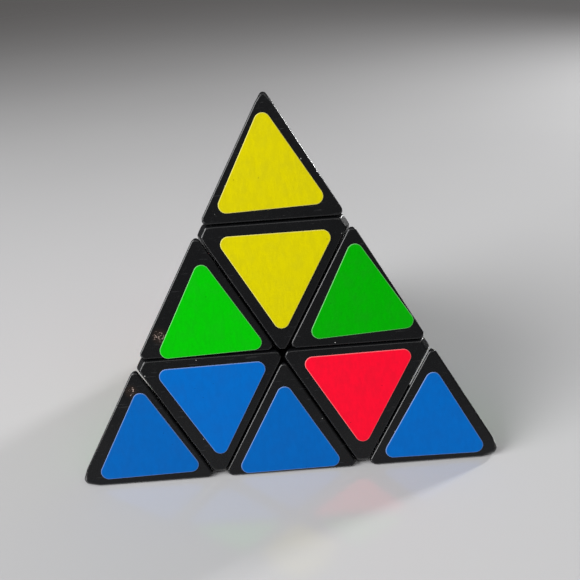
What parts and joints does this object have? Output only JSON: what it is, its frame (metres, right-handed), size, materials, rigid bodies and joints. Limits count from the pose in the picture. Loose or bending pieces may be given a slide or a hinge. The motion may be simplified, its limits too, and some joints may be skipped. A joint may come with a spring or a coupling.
{
  "type": "pyramid twisty puzzle",
  "caption": "Tetrahedral twisty puzzle with turning corner layers and tips, black plastic with rounded triangular coloured stickers.",
  "frame": {"origin": "centre of the core, where the four turning axes cross", "axes": "+Z through the top corner, front face leans back and faces -Y, back corner towards +Y, +X to the right of the front face"},
  "size_m": [0.0954, 0.083, 0.0778],
  "materials": {
    "shell_plastic": "black moulded ABS, satin gloss, lightly scuffed",
    "inner_plastic": "black moulded plastic, satin where it runs",
    "core_plastic": "natural white nylon",
    "screw_steel": "zinc plated",
    "spring_steel": "drawn spring wire",
    "sticker_yellow": "satin vinyl",
    "sticker_green": "satin vinyl",
    "sticker_blue": "satin vinyl",
    "sticker_red": "satin vinyl"
  },
  "bodies": {
    "core": {"core_spider": "core_plastic", "top_screw": "screw_steel", "top_washer": "screw_steel", "top_spring": "spring_steel", "left_screw": "screw_steel", "left_washer": "screw_steel", "left_spring": "spring_steel", "right_screw": "screw_steel", "right_washer": "screw_steel", "right_spring": "spring_steel", "back_screw": "screw_steel", "back_washer": "screw_steel", "back_spring": "spring_steel"},
    "top_axial": {"top_axial_shell": "shell_plastic", "top_axial_foot": "inner_plastic"},
    "left_axial": {"left_axial_shell": "shell_plastic", "left_axial_foot": "inner_plastic"},
    "right_axial": {"right_axial_shell": "shell_plastic", "right_axial_foot": "inner_plastic"},
    "back_axial": {"back_axial_shell": "shell_plastic", "back_axial_foot": "inner_plastic"},
    "top_tip": {"top_tip_shell": "shell_plastic", "top_tip_stem": "inner_plastic"},
    "left_tip": {"left_tip_shell": "shell_plastic", "left_tip_stem": "inner_plastic"},
    "right_tip": {"right_tip_shell": "shell_plastic", "right_tip_stem": "inner_plastic"},
    "back_tip": {"back_tip_shell": "shell_plastic", "back_tip_stem": "inner_plastic"},
    "top_left_edge": {"top_left_edge_shell": "shell_plastic", "top_left_edge_foot": "inner_plastic"},
    "top_right_edge": {"top_right_edge_shell": "shell_plastic", "top_right_edge_foot": "inner_plastic"},
    "top_back_edge": {"top_back_edge_shell": "shell_plastic", "top_back_edge_foot": "inner_plastic"},
    "left_right_edge": {"left_right_edge_shell": "shell_plastic", "left_right_edge_foot": "inner_plastic"},
    "left_back_edge": {"left_back_edge_shell": "shell_plastic", "left_back_edge_foot": "inner_plastic"},
    "right_back_edge": {"right_back_edge_shell": "shell_plastic", "right_back_edge_foot": "inner_plastic"}
  },
  "joints": [
    {"name": "top_layer_turn", "type": "hinge", "parent": "core", "child": "top_axial", "pos_m": [0, 0, 0], "axis": [0, 0, 1], "range_deg": [0, 120]},
    {"name": "left_layer_turn", "type": "hinge", "parent": "core", "child": "left_axial", "pos_m": [0, 0, 0], "axis": [-0.8165, -0.4714, -0.3333], "range_deg": [-120, 120]},
    {"name": "right_layer_turn", "type": "hinge", "parent": "core", "child": "right_axial", "pos_m": [0, 0, 0], "axis": [0.8165, -0.4714, -0.3333], "range_deg": [-120, 120]},
    {"name": "back_layer_turn", "type": "hinge", "parent": "core", "child": "back_axial", "pos_m": [0, 0, 0], "axis": [0, 0.9428, -0.3333], "range_deg": [-120, 120]},
    {"name": "top_tip_turn", "type": "hinge", "parent": "top_axial", "child": "top_tip", "pos_m": [0, 0, 0], "axis": [0, 0, 1], "continuous": true},
    {"name": "left_tip_turn", "type": "hinge", "parent": "left_axial", "child": "left_tip", "pos_m": [0, 0, 0], "axis": [-0.8165, -0.4714, -0.3333], "continuous": true},
    {"name": "right_tip_turn", "type": "hinge", "parent": "right_axial", "child": "right_tip", "pos_m": [0, 0, 0], "axis": [0.8165, -0.4714, -0.3333], "continuous": true},
    {"name": "back_tip_turn", "type": "hinge", "parent": "back_axial", "child": "back_tip", "pos_m": [0, 0, 0], "axis": [0, 0.9428, -0.3333], "continuous": true},
    {"name": "top_left_edge_turn", "type": "hinge", "parent": "left_axial", "child": "top_left_edge", "pos_m": [0, 0, 0], "axis": [0, 0, 1], "range_deg": [0, 120]},
    {"name": "top_right_edge_turn", "type": "hinge", "parent": "right_axial", "child": "top_right_edge", "pos_m": [0, 0, 0], "axis": [0, 0, 1], "range_deg": [0, 120]},
    {"name": "top_back_edge_turn", "type": "hinge", "parent": "back_axial", "child": "top_back_edge", "pos_m": [0, 0, 0], "axis": [0, 0, 1], "range_deg": [0, 120]},
    {"name": "left_right_edge_turn", "type": "hinge", "parent": "right_axial", "child": "left_right_edge", "pos_m": [0, 0, 0], "axis": [-0.8165, -0.4714, -0.3333], "range_deg": [-120, 120]},
    {"name": "left_back_edge_turn", "type": "hinge", "parent": "left_axial", "child": "left_back_edge", "pos_m": [0, 0, 0], "axis": [0, 0.9428, -0.3333], "range_deg": [-120, 120]},
    {"name": "right_back_edge_turn", "type": "hinge", "parent": "back_axial", "child": "right_back_edge", "pos_m": [0, 0, 0], "axis": [0.8165, -0.4714, -0.3333], "range_deg": [-120, 120]}
  ],
  "couplings": [
    {"joint": "top_left_edge_turn", "follows": "top_layer_turn", "ratio": 1},
    {"joint": "top_right_edge_turn", "follows": "top_layer_turn", "ratio": 1},
    {"joint": "top_back_edge_turn", "follows": "top_layer_turn", "ratio": 1},
    {"joint": "left_right_edge_turn", "follows": "left_layer_turn", "ratio": 1},
    {"joint": "left_back_edge_turn", "follows": "back_layer_turn", "ratio": 1},
    {"joint": "right_back_edge_turn", "follows": "right_layer_turn", "ratio": 1}
  ]
}
